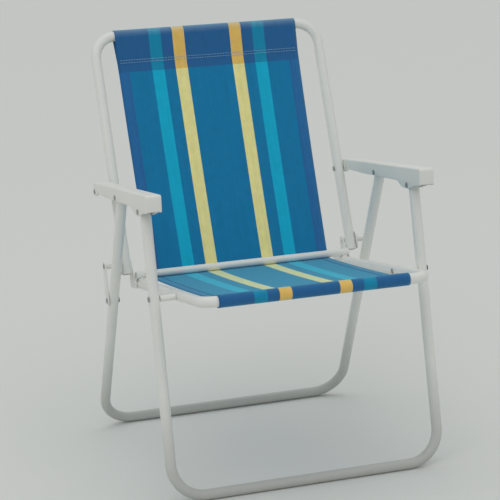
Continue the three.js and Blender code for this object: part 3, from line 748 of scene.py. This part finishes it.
# Painted shade: the darker palette goes on the top sleeve, and on the front sleeve from where it meets its
# bar.
in_top_sleeve = add_node(
    weave, "Math", {0: parts.outputs["Y"], 1: top_sleeve_length + SEAM_ALLOWANCE}, operation="LESS_THAN")
in_front_sleeve = add_node(
    weave, "Math", {0: parts.outputs["Y"], 1: front_bar_length}, operation="GREATER_THAN")
painted_shade_zone = add_node(
    weave, "Math", {0: in_top_sleeve.outputs[0], 1: in_front_sleeve.outputs[0]}, operation="ADD")
dyed_and_lit = add_node(
    weave, "Mix", {0: painted_shade_zone.outputs[0], 6: palettes[0], 7: palettes[1]}, data_type="RGBA")
# Painted highlight: the colour is paled towards the crown of the top sleeve, where light falls from above.
from_crown = add_node(weave, "Math", {0: parts.outputs["Y"], 1: top_crown}, operation="SUBTRACT")
away = add_node(weave, "Math", {0: from_crown.outputs[0]}, operation="ABSOLUTE")
crown_lit_share = add_node(weave, "MapRange", {
    "Value": away.outputs[0], "From Max": HIGHLIGHT_REACH, "To Min": HIGHLIGHT_SHARE, "To Max": 0.0})
with_crown_highlight = add_node(weave, "Mix", {
    0: crown_lit_share.outputs[0], 6: dyed_and_lit.outputs[2], 7: linear(CROWN_HIGHLIGHT)}, data_type="RGBA")
waves = []
for way in ("X", "Y"):
    turns = add_node(
        weave, "Math", {0: parts.outputs[way], 1: math.pi / THREAD}, operation="MULTIPLY")
    waves.append(add_node(weave, "Math", {0: turns.outputs[0]}, operation="SINE").outputs[0])
crossing = add_node(weave, "Math", {0: waves[0], 1: waves[1]}, operation="MULTIPLY")
slub = add_node(weave, "TexNoise", {"Vector": cut, "Scale": 1 / SLUB_WIDTH, "Detail": 4.0})
long_way = add_node(weave, "Mapping", {"Vector": cut, "Scale": (1.0, STREAK_WIDTH / STREAK_LENGTH, 1.0)})
streak = add_node(
    weave, "TexNoise", {"Vector": long_way.outputs[0], "Scale": 1 / STREAK_WIDTH, "Detail": 2.0})
uneven = add_node(weave, "Math", {0: slub.outputs[0], 1: streak.outputs[0]}, operation="ADD")
fade = add_node(weave, "MapRange", {
    "Value": uneven.outputs[0], "From Max": 2.0, "To Min": FADE_DARK, "To Max": FADE_PALE})
light = add_node(
    weave, "Math", {0: crossing.outputs[0], 1: THREAD_SHADE, 2: fade.outputs[0]}, operation="MULTIPLY_ADD")
shaded = add_node(weave, "VectorMath", {0: with_crown_highlight.outputs[2], 1: light.outputs[0]}, operation="MULTIPLY")
relief = add_node(weave, "Bump", {
    "Height": crossing.outputs[0], "Strength": WEAVE_STRENGTH, "Distance": WEAVE_DEPTH})
weave.node_tree.links.new(shaded.outputs[0], fibre["Base Color"])
weave.node_tree.links.new(relief.outputs[0], fibre["Normal"])

sling = finished_piece("sling_cloth", cloth, weave, SMOOTH_DEGREES)
ply = sling.modifiers.new("ply", "SOLIDIFY")
ply.thickness = CLOTH_THICKNESS
ply.offset = 0
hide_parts("sling_back", "sling_crease", "sling_seat")
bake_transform(sling)

# Seams: two rows of heavy pale thread across the cloth at each sleeve, and one row of blue thread down each
# hem. Each stitch is a short run of thread that dips into the cloth at both ends, on either face of it.
STITCH_PITCH = 0.0055
STITCH_LENGTH = 0.0042
STITCH_SIDES, STITCH_RINGS = 6, 5
THREAD_RADIUS = 0.0006
THREAD_LIFT = CLOTH_THICKNESS / 2 + THREAD_RADIUS / 2
SLEEVE_ROWS = (0.052, 0.057)
ROW_MARGIN = 0.004
HEM_ROW = 0.1685
CLEAR_OF_CROSSBAR = 0.012

# Spun polyester thread: a soft shine, and a twist every 0.4 mm drawn in its colour as painted shade and
# highlight.
SPUN_ROUGHNESS = 0.6
TWIST_LENGTH = 0.0004


def spun_thread(name, dull, pale):
    """A thread's material, between its colours: painted shade in the twist's hollows, highlight on its
    crowns.
    """
    thread, strand = new_material(name)
    strand["Roughness"].default_value = SPUN_ROUGHNESS
    spot = add_node(thread, "TexCoord", {}).outputs["Object"]
    twist = add_node(thread, "TexNoise", {"Vector": spot, "Scale": 1 / TWIST_LENGTH, "Detail": 1.0})
    tone = add_node(thread, "Mix", {0: twist.outputs[0], 6: linear(dull), 7: linear(pale)}, data_type="RGBA")
    thread.node_tree.links.new(tone.outputs[2], strand["Base Color"])
    return thread


pale_thread = spun_thread("pale_polyester_thread", "#8FB3CC", "#A6C6DA")
blue_thread = spun_thread("blue_polyester_thread", "#2A629A", "#3F7FB8")

spindle = bmesh.new()
bmesh.ops.create_uvsphere(
    spindle, u_segments=STITCH_SIDES, v_segments=STITCH_RINGS, radius=1,
    matrix=Matrix.Diagonal((THREAD_RADIUS, THREAD_RADIUS, STITCH_LENGTH / 2, 1)))
one_stitch = bpy.data.meshes.new("stitch")
spindle.to_mesh(one_stitch)
spindle.free()


def add_stitch(seam, middle, heading):
    """Lays one stitch, a spindle of thread, along a heading."""
    stitch = one_stitch.copy()
    stitch.transform(Matrix.Translation(middle) @ heading.to_track_quat("Z", "Y").to_matrix().to_4x4())
    seam.from_mesh(stitch)
    bpy.data.meshes.remove(stitch)


for name, body, bar, touch, lap, half_width, shift in (
    ("top_stitches", "back", top_bar, front_touch, top_seam, TOP_HALF_WIDTH, TOP_SHIFT),
    ("top_rear_stitches", "back", top_bar, rear_touch, rear_lap, TOP_HALF_WIDTH, TOP_SHIFT),
    ("front_stitches", "seat", front_bar, upper_touch, front_seam, FRONT_HALF_WIDTH, FRONT_SHIFT),
    ("front_under_stitches", "seat", front_bar, lower_touch, under_lap, FRONT_HALF_WIDTH, FRONT_SHIFT),
):
    seam = bmesh.new()
    count = int(2 * (half_width - ROW_MARGIN) / STITCH_PITCH)
    lift = (touch - bar).normalized() * THREAD_LIFT
    for distance in SLEEVE_ROWS:
        middle = along(touch, lap, math.sqrt(distance ** 2 - SLEEVE_RADIUS ** 2)) + lift
        for k in range(count):
            sideways = (k - (count - 1) / 2) * STITCH_PITCH + shift
            add_stitch(seam, middle + Vector((sideways, 0, 0)), Vector((1, 0, 0)))
    stitches = finished_piece(name, seam, pale_thread, SMOOTH_DEGREES)
    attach(stitches, body)

seam = bmesh.new()
for k in range(int((front_bar_length - top_sleeve_length) / STITCH_PITCH)):
    distance = top_sleeve_length + (k + 0.5) * STITCH_PITCH
    after = next(i for i, (reached, _) in enumerate(middle_line) if reached >= distance)
    (reached_behind, behind), (reached_ahead, ahead) = middle_line[after - 1], middle_line[after]
    heading = (ahead - behind).normalized()
    outward = Vector((0, -heading.z, heading.y)) * THREAD_LIFT
    half_width, shift = width_at(distance)
    at_crossbar = back_length - CLEAR_OF_CROSSBAR < distance < seat_start + CLEAR_OF_CROSSBAR
    for side in (-1, 1):
        middle = behind.lerp(ahead, (distance - reached_behind) / (reached_ahead - reached_behind))
        middle.x = side * HEM_ROW * half_width / CREASE_HALF_WIDTH + shift
        add_stitch(seam, middle + outward, heading)
        if not at_crossbar:
            add_stitch(seam, middle - outward, heading)
stitches = finished_piece("hem_stitches", seam, blue_thread, SMOOTH_DEGREES)
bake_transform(stitches)
bpy.data.meshes.remove(one_stitch)

# Studio: a wide pale floor that fills the view, under a surround that is bright overhead and dim at the
# horizon, with one large soft lamp from the front left.
FLOOR_SIZE = 60.0
FLOOR_PALE = "#DFE1DE"
FLOOR_ROUGHNESS = 0.9
KEY_PLACE = Vector((-2.6, -3.2, 4.2))
KEY_AIM = Vector((0, 0, 0.4))
KEY_WATTS = 24.0
KEY_SIZE = 3.4
SURROUND_PALE = "#FAFBFA"
HORIZON_STRENGTH = 0.38
ZENITH_STRENGTH = 0.95

ground = bmesh.new()
bmesh.ops.create_grid(ground, x_segments=1, y_segments=1, size=FLOOR_SIZE / 2)
floor_mesh = bpy.data.meshes.new("floor")
ground.to_mesh(floor_mesh)
ground.free()
floor = bpy.data.objects.new("floor", floor_mesh)
bpy.context.collection.objects.link(floor)
floor_paint, matt = new_material("pale_floor")
matt["Base Color"].default_value = linear(FLOOR_PALE)
matt["Roughness"].default_value = FLOOR_ROUGHNESS
floor_mesh.materials.append(floor_paint)

lamp = bpy.data.objects.new("key", bpy.data.lights.new("key", "AREA"))
lamp.data.energy = KEY_WATTS
lamp.data.size = KEY_SIZE
lamp.location = KEY_PLACE
lamp.rotation_mode = "QUATERNION"
lamp.rotation_quaternion = (KEY_AIM - KEY_PLACE).to_track_quat("-Z", "Y")
bpy.context.collection.objects.link(lamp)

world = bpy.data.worlds.new("studio")
world.use_nodes = True
surround = world.node_tree.nodes["Background"].inputs
surround["Color"].default_value = linear(SURROUND_PALE)
towards = add_node(world, "TexCoord", {}).outputs["Generated"]
upward = add_node(world, "SeparateXYZ", {"Vector": towards}).outputs["Z"]
glow = add_node(world, "MapRange", {
    "Value": upward, "To Min": HORIZON_STRENGTH, "To Max": ZENITH_STRENGTH})
world.node_tree.links.new(glow.outputs[0], surround["Strength"])
bpy.context.scene.world = world
